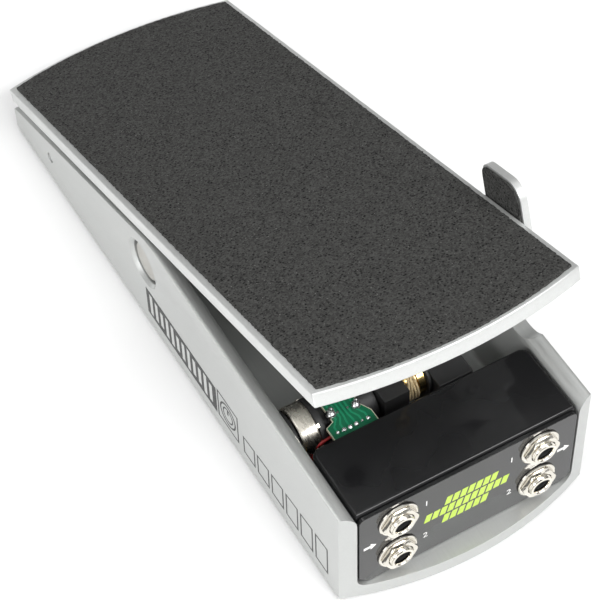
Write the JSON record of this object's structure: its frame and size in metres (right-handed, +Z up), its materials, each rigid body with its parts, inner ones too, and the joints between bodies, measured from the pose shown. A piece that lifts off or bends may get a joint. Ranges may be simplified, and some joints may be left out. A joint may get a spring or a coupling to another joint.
{
  "type": "volume pedal",
  "caption": "Foot pedal: a tilting gritted treadle on a silver channel chassis turns a cord-driven control; black jack panel at the toe end, side tab on the treadle",
  "frame": {"origin": "centre of the bounding box at the height the rubber feet stand on", "axes": "+X to the right seen from the toe end, across the pedal; +Y from the toe end with the jacks to the heel end; +Z up"},
  "size_m": [0.1084, 0.2892, 0.112],
  "materials": {
    "silver_paint": "satin silver-grey powder paint with a faint grain",
    "grip_tape": "coarse mineral grit on a black sheet",
    "black_enamel": "gloss black",
    "black_plastic": "moulded, matt",
    "nickel": "bright nickel plate",
    "zinc_steel": "zinc plate",
    "brass": "turned",
    "bush_bronze": "sintered, oiled",
    "aluminium": "machined",
    "circuit_board": "green solder mask",
    "rubber": "matt",
    "cord_fibre": "twisted waxed cord"
  },
  "bodies": {
    "base": {"axle_bush_left": "bush_bronze", "axle_bush_right": "bush_bronze", "bearing_screw": "zinc_steel", "bracket_screw_front": "zinc_steel", "bracket_screw_rear": "zinc_steel", "chassis": "silver_paint", "control_board": "circuit_board", "control_bracket": "black_plastic", "control_can": "nickel", "control_front_body": "black_plastic", "control_nut": "zinc_steel", "control_rear_cap": "black_plastic", "cover_screw_left": "zinc_steel", "cover_screw_right": "zinc_steel", "cross_pin": "zinc_steel", "heel_stop_left": "rubber", "heel_stop_right": "rubber", "jack_body_left_lower": "black_plastic", "jack_body_left_upper": "black_plastic", "jack_body_right_lower": "black_plastic", "jack_body_right_upper": "black_plastic", "jack_cover": "black_enamel", "jack_nut_left_lower": "nickel", "jack_nut_left_upper": "nickel", "jack_nut_right_lower": "nickel", "jack_nut_right_upper": "nickel", "jack_panel": "black_enamel", "panel_screw_left": "zinc_steel", "panel_screw_right": "zinc_steel", "rubber_foot_1": "rubber", "rubber_foot_2": "rubber", "rubber_foot_3": "rubber", "rubber_foot_4": "rubber", "shaft_bearing_block": "black_plastic", "tension_spring": "zinc_steel"},
    "treadle": {"treadle_plate": "silver_paint", "treadle_grip_tape": "grip_tape", "side_tab": "silver_paint", "side_tab_grip_tape": "grip_tape", "side_tab_screw_1": "zinc_steel", "side_tab_screw_2": "zinc_steel", "pivot_axle": "aluminium", "axle_hanger_left": "aluminium", "axle_hanger_right": "aluminium", "hanger_screw_left_1": "zinc_steel", "hanger_screw_left_2": "zinc_steel", "hanger_screw_right_1": "zinc_steel", "hanger_screw_right_2": "zinc_steel", "cord_anchor": "brass", "drive_cord_lift": "cord_fibre", "toe_bumper_left": "rubber", "toe_bumper_right": "rubber"},
    "control_rotor": {"control_shaft": "zinc_steel", "cord_drum": "brass", "shaft_collar": "black_plastic", "drive_cord_wrap": "cord_fibre"},
    "cord_end": {"cord_ferrule": "brass", "drive_cord_return": "cord_fibre"}
  },
  "joints": [
    {"name": "treadle_pivot", "type": "hinge", "parent": "base", "child": "treadle", "pos_m": [-0.00198, 0.01252, 0.0375], "axis": [1, 0, 0], "range_deg": [0, 19.5], "deforming": ["drive_cord_lift"]},
    {"name": "control_turn", "type": "hinge", "parent": "base", "child": "control_rotor", "pos_m": [-0.00198, -0.08338, 0.0325], "axis": [1, 0, 0], "range_deg": [0, 290]},
    {"name": "cord_travel", "type": "slide", "parent": "base", "child": "cord_end", "axis": [0, 0.9984, -0.0563], "range_m": [0, 0.036], "deforming": ["tension_spring", "drive_cord_return"]}
  ],
  "couplings": [
    {"joint": "control_turn", "follows": "treadle_pivot", "ratio": 14.8},
    {"joint": "cord_travel", "follows": "treadle_pivot", "m_per_rad": 0.1036}
  ]
}
